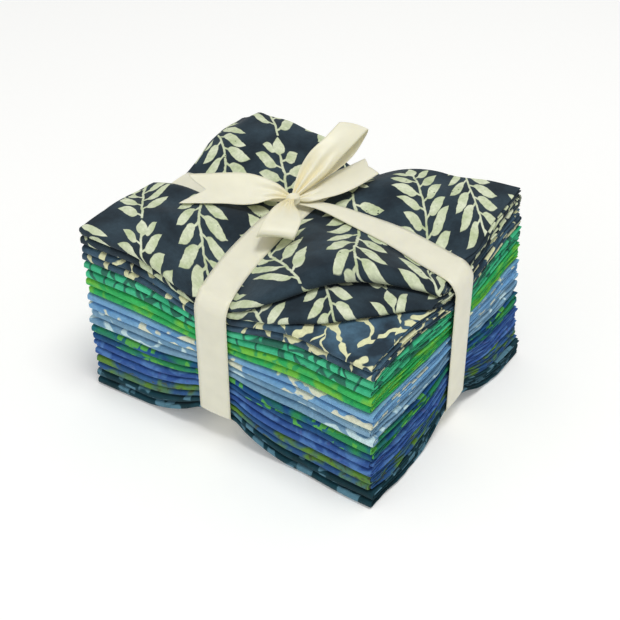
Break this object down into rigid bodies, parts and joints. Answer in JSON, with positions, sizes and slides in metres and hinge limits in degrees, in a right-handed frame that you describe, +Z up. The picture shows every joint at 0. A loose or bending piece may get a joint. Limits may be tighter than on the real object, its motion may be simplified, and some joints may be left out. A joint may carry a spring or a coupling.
{
  "type": "fat quarter bundle",
  "caption": "Stack of folded printed cotton quarters in greens and blues, tied both ways with a satin ribbon and a bow.",
  "frame": {"origin": "middle of the whole bundle's box, on the surface it stands on", "axes": "+X along the stack's long side, towards the end whose cut layers flare out; -Y towards the rounded folds that the picture shows; +Z up"},
  "size_m": [0.1478, 0.118, 0.0991],
  "materials": {
    "print_leaf": "matte woven cotton, dark slate with pale leaf sprigs",
    "print_slate": "matte woven cotton, slate blue with pale branches",
    "print_emerald": "matte woven cotton, emerald with dark veins",
    "print_lime": "matte woven cotton, mottled bright green",
    "print_sky": "matte woven cotton, light blue with cream marks",
    "print_grey_blue": "matte woven cotton, grey blue with pale arcs",
    "print_blue_green": "matte woven cotton, blue with green patches",
    "print_periwinkle": "matte woven cotton, mottled periwinkle blue",
    "print_olive": "matte woven cotton, olive and blue",
    "print_teal": "matte woven cotton, dark teal with grey-blue patches",
    "ribbon_satin": "cream satin ribbon"
  },
  "bodies": {
    "root": {"quarter_01_leaf": "print_leaf", "quarter_02_slate": "print_slate", "quarter_03_emerald": "print_emerald", "quarter_04_lime": "print_lime", "quarter_05_sky": "print_sky", "quarter_06_grey_blue": "print_grey_blue", "quarter_07_blue_green": "print_blue_green", "quarter_08_periwinkle": "print_periwinkle", "quarter_09_olive": "print_olive", "quarter_10_teal": "print_teal", "ribbon_band_a": "ribbon_satin", "ribbon_band_b": "ribbon_satin", "ribbon_knot": "ribbon_satin", "bow_loop_back": "ribbon_satin", "bow_loop_front": "ribbon_satin", "bow_tail_left": "ribbon_satin", "bow_tail_right": "ribbon_satin"}
  },
  "joints": []
}
